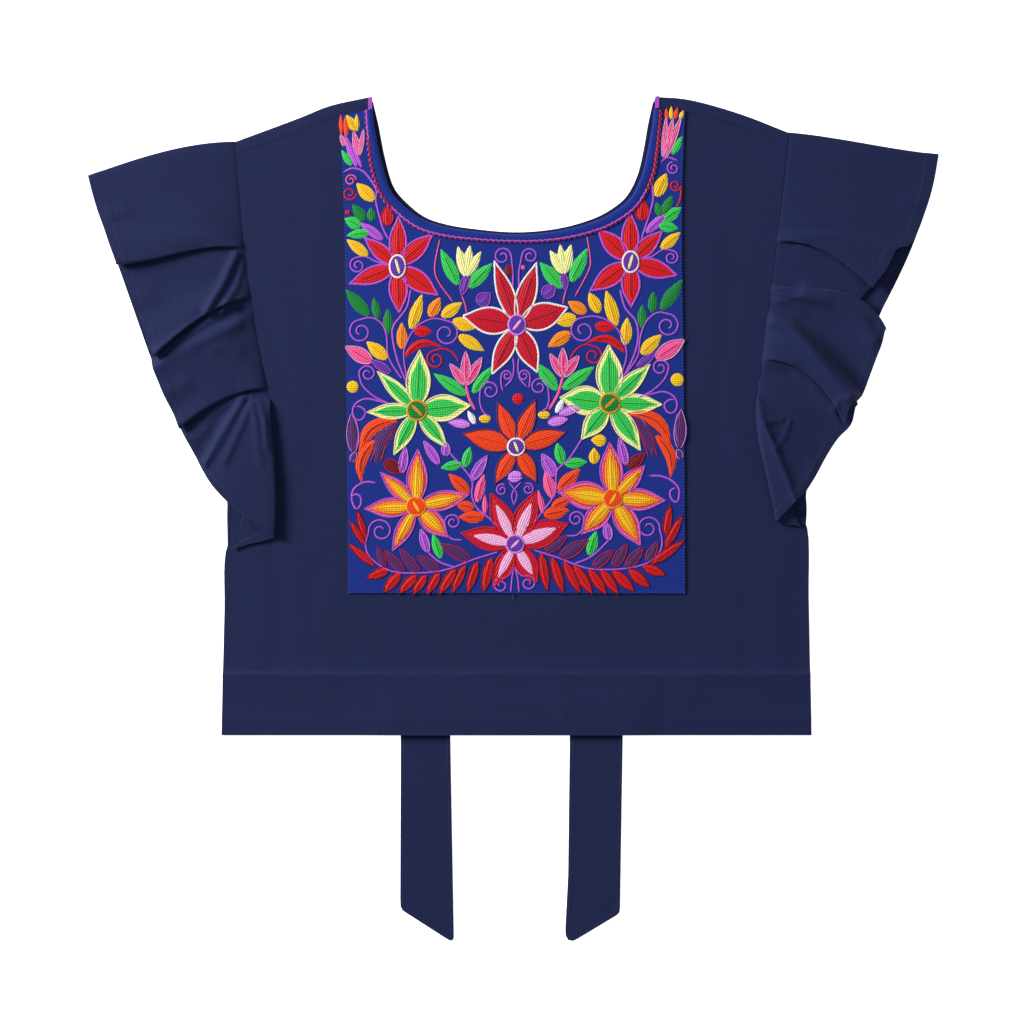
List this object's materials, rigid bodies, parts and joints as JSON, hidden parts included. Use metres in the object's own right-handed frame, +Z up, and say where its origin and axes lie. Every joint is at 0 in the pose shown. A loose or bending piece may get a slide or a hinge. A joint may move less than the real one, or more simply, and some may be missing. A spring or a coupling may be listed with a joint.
{
  "type": "embroidered crop top",
  "caption": "Cotton crop top with a flower-embroidered bib, scoop neck, ruffle sleeves, wide hem and back ties, laid flat with its front up.",
  "frame": {"origin": "on the table top, at the middle of the garment's outline as it lies", "axes": "+X to the right of the garment as it lies with its front up, +Y from the hem to the shoulders, +Z up from the table"},
  "size_m": [0.6967, 0.692, 0.0096],
  "materials": {
    "navy_cotton": "matt woven cotton",
    "blue_cotton": "matt woven cotton under embroidery",
    "dark_cotton": "matt woven cotton"
  },
  "bodies": {
    "root": {"back_panel": "navy_cotton", "front_panel": "navy_cotton", "bib": "blue_cotton", "front_neck_binding": "blue_cotton", "back_neck_binding": "dark_cotton", "sleeve_left": "navy_cotton", "sleeve_right": "navy_cotton", "tie_left": "navy_cotton", "tie_right": "navy_cotton"}
  },
  "joints": []
}
